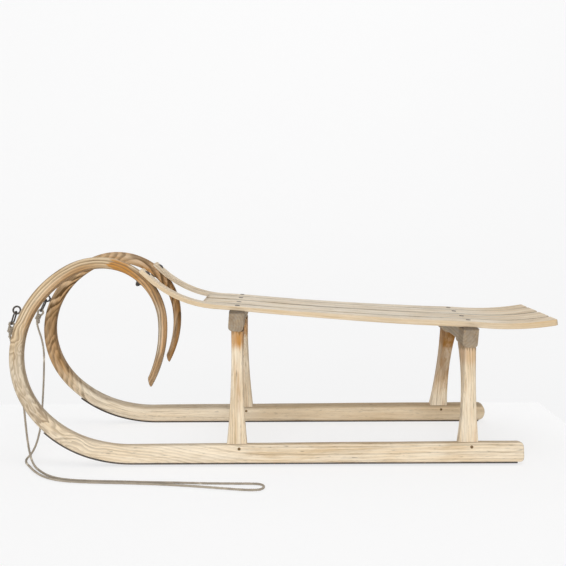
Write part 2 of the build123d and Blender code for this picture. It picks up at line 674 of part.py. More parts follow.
# Slats: plan corners from tail to front
seat_half = bar_half(head_height(REAR_LEG_X - REAR_LEG_RAKE, REAR_BAR_HEIGHT)) - SLAT_INSET
tip_x = HORN_FOOT.X + SLAT_LAP * cos(radians(HORN_SLOPE))
tip_in = HORN_WORLD.Y - OUTER_HORN_WIDTH / 2
tail_in = seat_half - OUTER_TAIL_WIDTH
share = (INNER_SLAT_FRONT - SLAT_TAIL_X) / (tip_x - SLAT_TAIL_X)
front_in = tail_in + (tip_in - tail_in) * share
inner_slat = slat(False, [
    (SLAT_TAIL_X, CENTRE_GAP / 2),
    (SLAT_TAIL_X, tail_in - SLAT_GAP),
    (INNER_SLAT_FRONT, front_in - SLAT_GAP),
    (INNER_SLAT_FRONT, CENTRE_GAP / 2),
])
outer_slat = slat(True, [
    (SLAT_TAIL_X, tail_in),
    (SLAT_TAIL_X, seat_half),
    (tip_x, tip_in + OUTER_HORN_WIDTH),
    (tip_x, tip_in),
])
outer_slat = outer_slat - bolt_frame.location * bolt_hole
nodes["slat_inner_left"] = inner_slat
nodes["slat_inner_right"] = mirrored(inner_slat)
nodes["slat_outer_left"] = outer_slat
nodes["slat_outer_right"] = mirrored(outer_slat)

for name, solid in nodes.items():
    export_step(solid, f"parts/{name}.step")
    box = solid.bounding_box()
    print(name, round(solid.volume), [round(v, 1) for v in (*box.min, *box.max)], len(solid.solids()))
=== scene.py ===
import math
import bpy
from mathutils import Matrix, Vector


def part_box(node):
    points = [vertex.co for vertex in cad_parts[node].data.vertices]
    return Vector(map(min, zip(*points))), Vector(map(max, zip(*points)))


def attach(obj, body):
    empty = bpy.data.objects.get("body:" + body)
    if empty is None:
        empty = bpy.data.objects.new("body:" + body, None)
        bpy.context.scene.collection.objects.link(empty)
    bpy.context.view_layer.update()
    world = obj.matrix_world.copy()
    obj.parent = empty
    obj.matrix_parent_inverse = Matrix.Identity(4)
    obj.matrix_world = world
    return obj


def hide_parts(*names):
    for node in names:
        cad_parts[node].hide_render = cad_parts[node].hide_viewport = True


bl_info = {
    "name": "Horn Sled",
    "version": (1, 0, 0),
    "blender": (4, 5, 0),
    "location": "View3D > Sidebar > Sled",
    "description": "Dresses a bentwood horn sled: steam-bent ash, dark iron and a twisted tow rope",
    "category": "Add Mesh",
}

import bmesh
import bpy
from bpy.props import FloatProperty, FloatVectorProperty, IntProperty, PointerProperty
from mathutils import Matrix, Vector, noise

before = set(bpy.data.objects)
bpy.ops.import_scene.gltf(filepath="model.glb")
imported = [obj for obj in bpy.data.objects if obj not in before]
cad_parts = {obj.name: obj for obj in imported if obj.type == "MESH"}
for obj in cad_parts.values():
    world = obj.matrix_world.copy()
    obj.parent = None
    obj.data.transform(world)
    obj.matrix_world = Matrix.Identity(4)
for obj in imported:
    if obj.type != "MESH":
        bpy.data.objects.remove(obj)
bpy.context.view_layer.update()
BODY = "root"

# Camera: where it stands, its lens and how it is turned
CAMERA_PLACE = Vector((-0.0003, 1.7847, 0.5596))
CAMERA_LENS = 48.82
CAMERA_SENSOR = 36.0
CAMERA_YAW = math.radians(0.027)
CAMERA_PITCH = math.radians(5.808)
CAMERA_ROLL = math.radians(-0.231)

# Table and wall: half their sizes, where they are, and the share of their plain colour that is seen
TABLE_SIZE = Vector((1.6, 1.9, 0.0))
TABLE_CORNER = Vector((-0.722, -0.350, -0.0005))
TABLE_MIDDLE = TABLE_CORNER + TABLE_SIZE
TABLE_PLAIN = 0.72
WALL_SIZE = Vector((4.0, 3.0, 0.0))
WALL_MIDDLE = Vector((0.0, -1.3, 0.8))
WALL_PLAIN = 0.85

# Lamps: their places and widths, the upper one's share of the power, and the point that they face
KEY_PLACE = Vector((0.9, 6.0, 1.7))
KEY_WIDTH = 4.4
TOP_PLACE = Vector((-0.4, 0.3, 2.6))
TOP_WIDTH = 1.8
TOP_SHARE = 0.09
LAMP_AIM = Vector((0.0, 0.0, 0.2))

# Stance of the runners: half the track at the floor, and the inward lean
HALF_TRACK = 0.168
CANT = math.radians(10.4)
SHOE_WIDTH = 0.020
SHOE_THICK = 0.0025
SHOE_LIFT = SHOE_WIDTH / 2 * math.sin(CANT)

# Runner: the straight, then each bend's turn, outer radius, and depth and share of width at its end
RUNNER_TAIL = -0.519
RUNNER_WIDTH = 0.026
RUNNER_TAIL_DEPTH = 0.0438
RUNNER_DEPTH = 0.0398
BEND_START = 0.3274
BENDS = (
    (14.3, 0.328, 0.0380, 1.0),
    (34.8, 0.276, 0.0313, 1.0),
    (65.9, 0.209, 0.0276, 1.0),
    (35.8, 0.239, 0.0270, 0.98),
    (114.6, 0.1506, 0.0191, 0.92),
    (32.4, 0.255, 0.0154, 0.84),
)
TIP_REACH = 0.0116
TIP_SLANT = 0.0155
TIP_SLANT_RUN = 0.060
TIP_SLANT_POWER = 1.5
TIP_ROUND = 0.0055
TAIL_SIDE_ROUND = 0.005

# Seat: the slats' underside from the tail forward, their section, their plan and the dip between bars
SEAT_SLOPE = math.radians(4.2)
HORN_SLOPE = math.radians(43.0)
SEAT_FRONT_Z = 0.3293
FRONT_BEND_START = 0.150956
FRONT_BEND_RADIUS = 0.245
TAIL_BEND_START = -0.444
TAIL_BEND_RADIUS = 0.666
SLAT_THICK_FRONT = 0.0095
SLAT_THICK_TAIL = 0.013
SLAT_CORNER_ROUND = 0.007
SLAT_END_ROUND = 0.002
SLAT_TAIL_WIDTH = 0.048
SLAT_HORN_WIDTH = 0.036
SLAT_TAIL_X = -0.6005
SEAT_SAG = 0.0038
FRONT_BAR_X = 0.1016
REAR_BAR_X = -0.409

# Legs: how far up each pair's heads start, and where the heart of their wood is along the sled
LEG_HEADS = {"front": 0.258, "rear": 0.221}
LEG_HEARTS = {"front": 0.20, "rear": -0.50}

# Screws: depth of the head and of its slot, and how the slots turn from place to place
SCREW_DEPTH = 0.0020
SCREW_SLOT = 0.0006
SLOT_TURN = 7.0

# Hand planing: how often the faces stray along and across a board, in waves to a metre
RUNNER_WAVES = (9.0, 20.0)
RUNNER_SWAYS = (5.0, 20.0)
SLAT_WAVES = (8.0, 12.0)
SLAT_SWAYS = 4.0

# Bars: cuts near their ends, the most of a side that rounding takes, and how near counts as touching
END_CUTS = (0.0004, 0.0010, 0.0018, 0.0028, 0.0040, 0.0050, 0.0075, 0.0090, 0.0110, 0.0140, 0.0165)
EDGE_LIMIT = 0.98
TOUCH = 1e-6

# Left knot, in metres down from its top: its tucked end, its loop, its turns and its loose end
KNOT_LENGTH = 0.015
KNOT_TUCK = ((0.0, -0.001, 0.013), (0.0, -0.003, 0.007))
KNOT_LOOP_DROP = -0.004
KNOT_LOOP_RADIUS = 0.0065
KNOT_LOOP_ANGLES = range(-50, 231, 40)
KNOT_LOOP_DRIFT = 0.00001
KNOT_TURNS = 3
KNOT_TURN_STEPS = 8
KNOT_TURN_RADIUS = 0.0046
KNOT_TURN_PITCH = 0.0046
KNOT_TURN_TOP = 0.002
KNOT_END = ((0.0070, 0.004, 0.017), (0.0105, 0.005, 0.022))

# Left link: the way that it hangs, then across it and out of its face
LINK_DOWN = Vector((18.0, -13.0, -43.0)).normalized()
LINK_FACE = Vector((0.0, 1.0, 0.0)).cross(LINK_DOWN).normalized()
LINK_ACROSS = LINK_DOWN.cross(LINK_FACE)

# Tow rope: its start, strands' share of its thickness, smoothness, height on the floor, route
ROPE_START = (0.608980, 0.095633, 0.280613)
STRAND_SHARE = 0.60
ROPE_STEPS = 40
KNOT_STEPS = 16
ROPE_LIE = 0.0026
ROPE_ROUTE = (
    ROPE_START,
    (0.611956, 0.093484, 0.273505),
    (0.600, 0.090, 0.222),
    (0.590, 0.094, 0.172),
    (0.578, 0.113, 0.113),
    (0.567, 0.134, 0.052),
    (0.553, 0.157, 0.014),
    (0.537, 0.181, ROPE_LIE),
    (0.518, 0.209, ROPE_LIE),
    (0.490, 0.241, ROPE_LIE),
    (0.452, 0.263, ROPE_LIE),
    (0.397, 0.272, ROPE_LIE),
    (0.337, 0.2755, ROPE_LIE),
    (0.277, 0.2805, ROPE_LIE),
    (0.217, 0.2835, ROPE_LIE),
    (0.160, 0.288, ROPE_LIE),
    (0.115, 0.2895, ROPE_LIE),
    (0.078, 0.2905, ROPE_LIE),
    (0.050, 0.2915, ROPE_LIE),
    (0.040, 0.3015, ROPE_LIE),
    (0.040, 0.3156, ROPE_LIE),
    (0.050, 0.3256, ROPE_LIE),
    (0.078, 0.325, ROPE_LIE),
    (0.126, 0.3145, ROPE_LIE),
    (0.180, 0.3035, ROPE_LIE),
    (0.237, 0.294, ROPE_LIE),
    (0.295, 0.2875, ROPE_LIE),
    (0.350, 0.283, ROPE_LIE),
    (0.404, 0.2795, ROPE_LIE),
    (0.457, 0.2705, ROPE_LIE),
    (0.498, 0.247, ROPE_LIE),
    (0.527, 0.2135, ROPE_LIE),
    (0.546, 0.184, ROPE_LIE),
    (0.562, 0.1605, ROPE_LIE),
    (0.570, 0.136, ROPE_LIE),
    (0.568, 0.106, 0.004),
    (0.566, 0.073, 0.017),
    (0.569, 0.029, 0.046),
    (0.577, -0.015, 0.093),
    (0.584, -0.055, 0.155),
    (0.590, -0.082, 0.218),
    (0.611956, -0.093484, 0.273505),
    (0.608980, -0.095633, 0.280613),
)


def colour(name, description, value):
    return FloatVectorProperty(
        name=name, description=description, default=value, size=3, min=0.0, max=1.0, subtype="COLOR"
    )


def length(name, description, value):
    return FloatProperty(name=name, description=description, default=value, min=0.0, unit="LENGTH")


def strength(name, description, value, unit="NONE"):
    return FloatProperty(name=name, description=description, default=value, min=0.0, unit=unit)


class SledTimber(bpy.types.PropertyGroup):
    """Sizes of the bent boards."""

    runner_edge: length("Runner Edge", "Rounding along the runner's straight", 0.006)
    horn_edge: length("Horn Edge", "Rounding along the horn", 0.0072)
    slat_edge: length("Slat Edge", "Rounding along the slats", 0.0022)
    board_step: length("Board Step", "Distance between the cuts across a board", 0.006)
    screw_head: length("Screw Head", "Diameter of the slat screws' heads", 0.0105)
    wander: length("Wander", "How far a hand-planed face strays from true", 0.0005)


class SledColours(bpy.types.PropertyGroup):
    """Colours of the wood, iron and rope."""

    pale: colour("Pale Ash", "Bare late wood", (0.86, 0.745, 0.575))
    # Also painted light: the far runner is this paler colour throughout, making up for the less light
    # that reaches it
    scraped_and_painted_light: colour("Scraped Ash", "Paler wood, scraped and little handled", (0.93, 0.82, 0.65))
    # Also a painted sheen: the seat's slats are this greyer colour throughout, for the sky's sheen on
    # their tops
    bleached_and_sheen: colour("Bleached Ash", "Wood and fibre bleached by sun and snow", (0.80, 0.735, 0.63))
    tan: colour("Tan Ash", "Oiled, handled wood", (0.64, 0.455, 0.245))
    ring: colour("Early Wood", "The dark line of each year", (0.205, 0.130, 0.068))
    honey: colour("Honey Stain", "Old varnish left in patches", (0.50, 0.222, 0.040))
    umber: colour("Umber", "Dark brown wood in the shade of the loop", (0.120, 0.066, 0.024))
    grey: colour("Weathered Grey", "Wood gone grey in the wet", (0.43, 0.375, 0.30))
    # Also painted shade: the band under the slats on the crossbars, and the slat edges beside their
    # neighbours
    soot_and_shade: colour("Soot", "Dirt in pores and cracks", (0.075, 0.056, 0.040))
    iron: colour("Iron", "Dull dark iron", (0.060, 0.056, 0.053))
    bright: colour("Bright Iron", "Iron rubbed bare", (0.30, 0.28, 0.26))
    rust: colour("Rust", "Brown bloom on the iron", (0.13, 0.080, 0.050))
    hemp: colour("Hemp", "Light fibres of the rope", (0.42, 0.36, 0.285))
    hemp_shade: colour("Hemp Shade", "Dirty fibres of the rope", (0.27, 0.235, 0.19))


class SledRope(bpy.types.PropertyGroup):
    """Make of the tow rope."""

    diameter: length("Diameter", "Thickness of the rope", 0.005)
    lay: length("Lay", "Length of one turn of a strand", 0.0125)
    strands: IntProperty(
        name="Strands", description="Strands twisted together", default=3, min=2, max=5
    )


class SledStage(bpy.types.PropertyGroup):
    """Light and floor."""

    floor: colour("Floor", "Colour of the table", (0.97, 0.97, 0.972))
    wall: colour("Wall", "Colour of the wall behind", (0.96, 0.96, 0.962))
    sky: strength("Sky", "Strength of the even light", 0.34)
    haze: strength("Haze", "Brightness of the empty background", 0.92)
    key_power: strength("Key", "Power of the large lamp", 255.0, "POWER")


# Shader maths
class Value:
    """A shader socket that can be used in arithmetic; each step adds a Math node."""

    def __init__(self, finish, socket):
        self.finish = finish
        self.socket = socket

    def __add__(self, other):
        return self.finish.math("ADD", self, other)

    def __radd__(self, other):
        return self.finish.math("ADD", other, self)

    def __sub__(self, other):
        return self.finish.math("SUBTRACT", self, other)

    def __rsub__(self, other):
        return self.finish.math("SUBTRACT", other, self)

    def __mul__(self, other):
        return self.finish.math("MULTIPLY", self, other)

    def __rmul__(self, other):
        return self.finish.math("MULTIPLY", other, self)

    def __truediv__(self, other):
        return self.finish.math("DIVIDE", self, other)

    def __rtruediv__(self, other):
        return self.finish.math("DIVIDE", other, self)

    def __pow__(self, other):
        return self.finish.math("POWER", self, other)

    def __rpow__(self, other):
        return self.finish.math("POWER", other, self)


class Finish:
    """A material's nodes, or the world's."""

    def __init__(self, owner):
        self.owner = owner
        owner.use_nodes = True
        self.tree = owner.node_tree
        self.tree.nodes.clear()

    def node(self, kind, settings=None, inputs=None, output=0):
        """Adds a node: its settings first, then the values or links of its sockets."""
        made = self.tree.nodes.new(kind)
        for key, setting in (settings or {}).items():
            if key == "stops":
                ramp = made.color_ramp
                while len(ramp.elements) < len(setting):
                    ramp.elements.new(1.0)
                for element, (place, shade) in zip(ramp.elements, setting):
                    element.position = place
                    element.color = (shade, shade, shade, 1.0)
            else:
                setattr(made, key, setting)
        for key, given in (inputs or {}).items():
            if isinstance(given, Value):
                self.tree.links.new(given.socket, made.inputs[key])
            else:
                made.inputs[key].default_value = given
        return None if output is None else Value(self, made.outputs[output])

    def math(self, operation, *values):
        return self.node("ShaderNodeMath", {"operation": operation}, dict(enumerate(values)))

    def attribute(self, name):
        return self.node("ShaderNodeAttribute", {"attribute_name": name}, output="Vector")

    def vector(self, x, y, z):
        return self.node("ShaderNodeCombineXYZ", None, {0: x, 1: y, 2: z})

    def parts(self, vector):
        split = self.node("ShaderNodeSeparateXYZ", None, {0: vector})
        outputs = split.socket.node.outputs
        return [Value(self, outputs[index]) for index in range(3)]

    def stretched(self, vector, scales, shift):
        for operation, other in (("MULTIPLY", scales), ("ADD", (shift, shift, shift))):
            vector = self.node("ShaderNodeVectorMath", {"operation": operation}, {0: vector, 1: other})
        return vector

    def noise(self, vector, detail, roughness=0.5, scale=1.0):
        return self.node(
            "ShaderNodeTexNoise",
            {"noise_dimensions": "3D"},
            {"Vector": vector, "Scale": scale, "Detail": detail, "Roughness": roughness},
        )

    def fade(self, value, low, high):
        """0 below low, 1 above high, and smooth between; low may be above high."""
        return self.node(
            "ShaderNodeMapRange",
            {"interpolation_type": "SMOOTHSTEP", "clamp": True},
            {"Value": value, "From Min": low, "From Max": high, "To Min": 0.0, "To Max": 1.0},
        )

    def ramp(self, value, stops):
        return self.node("ShaderNodeValToRGB", {"stops": stops}, {"Fac": value})

    def mix(self, factor, first, second):
        return self.node(
            "ShaderNodeMix",
            {"data_type": "RGBA", "clamp_factor": True},
            {0: factor, 6: rgba(first), 7: rgba(second)},
            output=2,
        )

    def wash(self, under, shade, value, low, high, strength):
        """Lays a colour over another where a value goes from low to high."""
        return self.mix(self.fade(value, low, high) * strength, under, shade)

    def bump(self, height, strength, distance):
        return self.node(
            "ShaderNodeBump", None, {"Height": height, "Strength": strength, "Distance": distance}
        )

    def surface(self, inputs):
        return self.ended(self.node("ShaderNodeBsdfPrincipled", None, inputs))

    def ended(self, shader, kind="ShaderNodeOutputMaterial"):
        self.node(kind, None, {"Surface": shader}, output=None)
        return self.owner

    def seen(self):
        """1 for what the camera sees directly, in a mirror or through glass."""
        paths = self.node("ShaderNodeLightPath").socket.node.outputs
        direct = Value(self, paths["Is Camera Ray"])
        for ray in ("Is Glossy Ray", "Is Transmission Ray"):
            direct = self.math("MAXIMUM", direct, Value(self, paths[ray]))
        return direct


def rgba(value):
    """A colour property as a node's colour; a link stays as it is."""
    if isinstance(value, Value):
        return value
    return (*value, 1.0)


# Finishes
def board_grain(finish):
    """Along, depth and across in the unbent board, in metres."""
    return finish.attribute("grain")


def object_place(finish):
    return finish.node("ShaderNodeTexCoord", output="Object")


def leg_grain(side):
    """Along a leaning leg, then along and across the sled."""

    def grain(finish):
        upright = finish.node(
            "ShaderNodeMapping",
            {"vector_type": "POINT"},
            {"Vector": object_place(finish), "Rotation": (-side * CANT, 0.0, 0.0)},
        )
        x, y, z = finish.parts(upright)
        return finish.vector(z, x, y)

    return grain


def bar_grain(finish):
    """Along a crossbar, then up and along the sled."""
    x, y, z = finish.parts(object_place(finish))
    return finish.vector(y, z, x)


def travelled(finish, along, rows):
    """Values that go smoothly from row to row; each row starts with its place along the board."""
    values = list(rows[0][1:])
    for before, after in zip(rows, rows[1:]):
        share = finish.fade(along, before[0], after[0])
        for column, value in enumerate(values):
            step = after[column + 1] - before[column + 1]
            if step != 0.0:
                values[column] = value + share * step
    return values


def ash(name, grain_of, look):
    """Old ash: rings round a heart beside the board, streaks, pores, stains and weathering, and
    painted shade where a look asks for it.
    """
    colours = bpy.context.scene.sled_colours
    finish = Finish(bpy.data.materials.new(name))
    seed = look["seed"]
    grain = grain_of(finish)
    along, depth, across = finish.parts(grain)
    inward, sideways = finish.parts(finish.attribute("section"))[:2]

    def streaks(along_scale, cross_scale, shift, detail=3.0, roughness=0.6):
        scales = (along_scale, cross_scale, cross_scale)
        return finish.noise(finish.stretched(grain, scales, seed + shift), detail, roughness)

    heart_depth, heart_across, ripple, climb, line = travelled(finish, along, look["figure"])
    slow = along * look["drift"]
    sway_depth = (finish.noise(finish.vector(slow, seed, 0.0), 1.0) - 0.5) * look["sway"]
    sway_across = (finish.noise(finish.vector(slow, seed + 7.3, 4.0), 1.0) - 0.5) * look["sway"]
    off_depth = depth - (heart_depth + sway_depth)
    off_across = across - (heart_across + sway_across)
    reach = (off_depth * off_depth + off_across * off_across) ** 0.5
    wave = streaks(17.0, 70.0, 0.0, 2.0, 0.5) - 0.5
    count = (reach + climb + wave * ripple) / look["ring"]
    number = finish.math("FLOOR", count) + seed
    year = finish.node("ShaderNodeTexWhiteNoise", {"noise_dimensions": "1D"}, {"W": number})
    early = finish.ramp(
        finish.math("FRACT", count),
        [(0.0, 0.85), (0.08, 1.0), (0.36, 0.65), (0.58, 0.15), (0.88, 0.0), (1.0, 0.85)],
    )
    early = finish.math("MINIMUM", early * (0.30 + year * 0.70) * look["gain"], 1.0)

    streak = streaks(9.0, 290.0, 3.0)
    band = streaks(4.5, 120.0, 13.0)
    fibre = streaks(38.0, 1300.0, 0.0)
    pores = finish.fade(streaks(70.0, 900.0, 0.0, 2.0, 0.5), 0.60, 0.74) * (0.3 + early * 0.7)
    cloud = streaks(8.0, 34.0, 0.0, 4.0)
    patch = streaks(5.0, 60.0, 31.0, 4.0, 0.65)
    bleach = streaks(6.0, 60.0, 57.0, 4.0, 0.65)
    fleck = streaks(34.0, 210.0, 71.0, 2.0, 0.5)

    wood = getattr(colours, look["bare"])
    for shade, value, low, high, strength in (
        (colours.tan, cloud, 0.36, 0.70, look["tan"]),
        (colours.tan, band, 0.50, 0.66, look["band"]),
        (colours.grey, band, 0.44, 0.30, look["band"]),
        (colours.tan, streak, 0.48, 0.70, look["streak"]),
        (colours.ring, streak, 0.58, 0.74, look["streak"]),
        (colours.honey, patch, 0.54, 0.76, look["honey"]),
    ):
        wood = finish.wash(wood, shade, value, low, high, strength)
    frayed = along + (streak - 0.5) * look["fray"]
    for shade, start, end, soft, low, high, strength in look["stains"]:
        place = finish.fade(frayed, start - soft, start + soft)
        place = place * finish.fade(frayed, end + soft, end - soft)
        if low != high:
            place = place * finish.fade(inward + (patch - 0.5) * 0.5, low, high)
        place = place * (0.6 + finish.fade(patch, 0.38, 0.6) * 0.4)
        wood = finish.mix(place * strength, wood, getattr(colours, shade))
    wood = finish.wash(wood, colours.grey, bleach, 0.46, 0.68, look["grey"])
    worn = 1.0 - look["worn"] * finish.fade(cloud, 0.60, 0.40)
    wood = finish.mix(early * line * worn, wood, getattr(colours, look["ring_colour"]))
    wood = finish.wash(wood, colours.ring, fibre, 0.50, 0.80, 0.35)
    wood = finish.mix(pores * look["pore"], wood, colours.soot_and_shade)
    wood = finish.wash(wood, colours.soot_and_shade, fleck, 0.66, 0.76, look["fleck"])
    # Painted shade: umber over a band of the board's depth, such as the loop's shaded inner face
    for low, high, strength in look["edges"]:
        wood = finish.wash(wood, colours.umber, inward, low, high, strength)
    # Painted shade: a dark band below a crossbar's top, where the slats shade it
    for low, high, strength in look["caps"]:
        wood = finish.wash(wood, colours.soot_and_shade, depth, low, high, strength)
    for shade, low, high, end, strength in look["sides"]:
        place = finish.fade(sideways, low, high) * finish.fade(along, end, end - 0.03)
        wood = finish.mix(place * strength, wood, getattr(colours, shade))

    height = fibre * 0.5 - early * 0.35 - pores * 0.6
    return finish.surface({
        "Base Color": wood,
        "Roughness": 0.62 + fibre * 0.16,
        "Specular IOR Level": 0.14,
        "Normal": finish.bump(height, look["relief"], 0.0006),
    })


# Figure: along, the heart's depth and place across, the rings' ripple, climb and darkness
# Stains and painted shade: colour, along from and to, softness, faded in from a share of the depth to
# another, strength
# Edges: painted shade, dark from a share of the depth to another, strength
# Caps: painted shade, dark from a height to another, strength
# Sides, such as painted shade in the slats' gaps: colour, from a share of the width to another, how
# far along it goes, strength
ASH_LOOK = {
    "seed": 0.0,
    "bare": "pale",
    "drift": 1.6,
    "figure": ((0.0, 0.10, 0.05, 0.004, 0.0, 0.4),),
    "sway": 0.03,
    "ring": 0.0060,
    "ring_colour": "ring",
    "gain": 1.0,
    "worn": 0.3,
    "tan": 0.5,
    "band": 0.35,
    "streak": 0.45,
    "honey": 0.10,
    "stains": (),
    "fray": 0.03,
    "grey": 0.25,
    "pore": 0.6,
    "fleck": 0.35,
    "edges": (),
    "caps": (),
    "sides": (),
    "relief": 0.35,
}

# Further along than any board goes
BEYOND = 2.0


def ash_look(**changes):
    return {**ASH_LOOK, **changes}


NEAR_RUNNER = ash_look(
    seed=3.0,
    figure=(
        (0.0, 0.10, 0.04, 0.004, 0.0, 0.40),
        (0.56, 0.10, 0.04, 0.004, 0.0, 0.36),
        (0.90, 0.145, 0.04, 0.008, 0.0, 0.36),
        (0.98, 0.110, 0.089, 0.014, 0.0, 0.50),
        (1.08, 0.02, 0.125, 0.028, 0.0, 0.65),
        (1.24, 0.02, 0.125, 0.034, 0.02, 0.80),
        (1.285, 0.110, 0.089, 0.016, 0.02, 0.90),
        (1.33, 0.145, 0.04, 0.004, 0.02, 1.00),
        (1.56, 0.145, 0.04, 0.004, 0.02, 1.00),
        (1.64, 0.145, 0.04, 0.008, 0.02, 1.00),
    ),
    stains=(
        ("scraped_and_painted_light", -0.10, 0.12, 0.03, 0.0, 0.0, 0.40),
        ("scraped_and_painted_light", 0.62, 1.02, 0.05, 0.0, 0.0, 0.50),
        ("grey", 1.08, 1.28, 0.05, 0.0, 0.0, 0.45),
        ("tan", 1.24, 1.60, 0.05, 0.0, 0.0, 0.60),
        ("honey", 1.30, 1.56, 0.05, 0.50, 0.80, 0.62),
        ("umber", 1.46, 1.60, 0.03, 0.0, 0.0, 0.18),
        ("honey", 1.590, 1.640, 0.004, 0.02, 0.25, 1.0),
        ("honey", 1.625, 1.672, 0.006, 0.20, 0.50, 1.0),
        ("honey", 1.665, 1.76, 0.02, 0.0, 0.0, 0.75),
        ("umber", 1.66, 1.80, 0.03, 0.75, 0.25, 0.55),
        ("honey", 1.76, 1.87, 0.02, 0.80, 0.30, 0.80),
        ("grey", 1.74, 1.88, 0.03, 0.45, 0.75, 0.60),
        ("honey", 1.87, 1.96, 0.015, 0.0, 0.0, 0.70),
        ("umber", 1.86, 1.96, 0.015, 0.0, 0.0, 0.40),
    ),
    # Painted shade: the loop's inner face darker
    edges=((0.88, 1.0, 0.32),),
    fray=0.06,
    fleck=0.45,
    streak=0.6,
    gain=1.45,
)
FAR_RUNNER = ash_look(
    seed=11.0,
    figure=(
        (0.0, 0.10, -0.04, 0.006, 0.0, 0.16),
        (0.95, 0.12, -0.04, 0.010, 0.0, 0.12),
        (1.02, 0.10, -0.03, 0.014, 0.01, 0.60),
        (1.17, 0.10, -0.03, 0.016, 0.09, 0.90),
        (1.28, 0.10, -0.03, 0.030, 0.14, 1.00),
        (1.38, 0.10, -0.03, 0.024, 0.18, 1.00),
        (1.50, 0.10, -0.03, 0.012, 0.22, 0.95),
        (1.62, 0.10, -0.03, 0.010, 0.16, 0.95),
        (1.85, 0.10, -0.03, 0.008, 0.24, 0.95),
    ),
    # Painted light: paler bare wood than the near runner, making up for the less light that reaches
    # the far one
    bare="scraped_and_painted_light",
    ring=0.0145,
    ring_colour="umber",
    gain=1.7,
    worn=0.65,
    tan=0.15,
    honey=0.15,
    grey=0.08,
    stains=(
        ("tan", -0.1, 0.60, 0.05, 0.0, 0.0, 0.45),
        ("tan", 1.08, 1.62, 0.05, 0.0, 0.0, 0.55),
        ("honey", 1.12, 1.62, 0.06, 0.0, 0.0, 0.58),
        ("umber", 1.25, 1.34, 0.03, 0.0, 0.0, 0.32),
        ("honey", 1.62, 1.96, 0.04, 0.0, 0.0, 0.92),
        ("umber", 1.70, 1.96, 0.05, 0.0, 0.0, 0.42),
    ),
    # Painted shade: the inner edge darker, and the lower part near the shoe
    edges=((0.82, 1.0, 0.5), (0.30, 0.0, 0.22)),
    band=0.25,
    streak=0.35,
)
SEAT_LOOK = {
    # Partly weathered wood, partly a painted sheen of the sky on the slats' tops
    "bare": "bleached_and_sheen",
    "figure": ((0.0, -0.10, 0.0, 0.006, 0.0, 0.40),),
    "stains": (
        ("tan", -0.10, 0.12, 0.05, 0.0, 0.0, 0.40),
        ("tan", 0.78, 1.30, 0.06, 0.0, 0.0, 0.40),
    ),
    "tan": 0.25,
    "band": 0.45,
    "honey": 0.04,
    "grey": 0.45,
}


def slat_gap_shade(side, end):
    """Painted shade in the gap beside a slat, as far along as its neighbour goes."""
    return ("soot_and_shade", side * 0.92, side * 0.98, end, 0.42)


def leg_look(side, place, seed):
    """Old varnish and shade under the crossbar; the far rear leg is dark, the near one less worn."""
    head = LEG_HEADS[place]
    near_rear = place == "rear" and side > 0
    far_rear = place == "rear" and side < 0
    stains = [
        # Under the crossbar: old varnish with painted shade, then a painted shadow line at the leg's
        # head
        ("honey", head - 0.035, head + 0.06, 0.012, 0.0, 0.0, 0.5 if near_rear else 1.0),
        ("umber", head - 0.004, head + 0.06, 0.003, 0.0, 0.0, 0.60),
    ]
    if far_rear:
        stains.append(("honey", 0.07, 0.24, 0.03, 0.0, 0.0, 0.55))
        stains.append(("umber", 0.09, 0.24, 0.03, 0.0, 0.0, 0.40))
    return ash_look(
        seed=seed,
        bare="pale" if side > 0 else "scraped_and_painted_light",
        figure=((0.0, LEG_HEARTS[place], side * 0.16, 0.010, 0.0, 0.28),),
        honey=0.55,
        fleck=0.5,
        stains=stains,
        drift=3.0,
    )


def bar_look(top, x, seed):
    """Grey crossbar, with painted shade under the slats and at the shaded ends."""
    return ash_look(
        seed=seed,
        bare="grey",
        # Painted shadow under the slats
        caps=((top - 0.008, top - 0.003, 0.7),),
        figure=((0.0, 0.30, x + 0.03, 0.004, 0.0, 0.45),),
        stains=(
            # Painted shade at the crossbar's shaded ends
            ("umber", 0.09, 0.30, 0.01, 0.0, 0.0, 0.50),
            ("umber", -0.30, -0.09, 0.01, 0.0, 0.0, 0.50),
        ),
        tan=0.15,
    )


def iron(name, rust_share, roughness, rubbed=0.0):
    """Dull hand-worked iron with brown bloom and lighter worn spots."""
    colours = bpy.context.scene.sled_colours
    finish = Finish(bpy.data.materials.new(name))
    place = object_place(finish)
    bloom = finish.noise(place, 4.0, 0.6, 240.0)
    scale = finish.noise(place, 3.0, 0.6, 900.0)
    rust = finish.fade(bloom, 0.45, 0.68) * rust_share
    metal = finish.mix(rust, colours.iron, colours.rust)
    bare = finish.fade(scale, 0.62 - rubbed, 0.80 - rubbed)
    metal = finish.mix(bare * (0.35 + rubbed), metal, colours.bright)
    return finish.surface({
        "Base Color": metal,
        "Metallic": 0.75 - rust * 0.5,
        "Roughness": roughness + scale * 0.25,
        "Normal": finish.bump(scale, 0.3, 0.0004),
    })


def hemp(name):
    """Natural fibre with fine fuzz, and dirty and bleached lengths."""
    colours = bpy.context.scene.sled_colours
    finish = Finish(bpy.data.materials.new(name))
    place = object_place(finish)
    fuzz = finish.noise(place, 3.0, 0.6, 2400.0)
    dirt = finish.noise(place, 3.0, 0.6, 38.0)
    shade = finish.fade(dirt, 0.38, 0.66) * 0.55 + finish.fade(fuzz, 0.5, 0.75) * 0.45
    fibre = finish.mix(shade, colours.hemp, colours.hemp_shade)
    return finish.surface({
        "Base Color": finish.wash(fibre, colours.bleached_and_sheen, dirt, 0.42, 0.32, 0.7),
        "Roughness": 0.86 + fuzz * 0.1,
        "Specular IOR Level": 0.15,
        "Normal": finish.bump(fuzz, 0.6, 0.0004),
    })


def lit_sheet(name, shade, share):
    """A pale matt sheet that keeps shadows; a share of what is seen is its own plain colour."""
    finish = Finish(bpy.data.materials.new(name))
    matt = finish.node("ShaderNodeBsdfDiffuse", None, {"Color": rgba(shade)})
    plain = finish.node("ShaderNodeEmission", None, {"Color": rgba(shade), "Strength": 1.0})
    plainness = finish.seen() * share
    return finish.ended(finish.node("ShaderNodeMixShader", None, {0: plainness, 1: matt, 2: plain}))


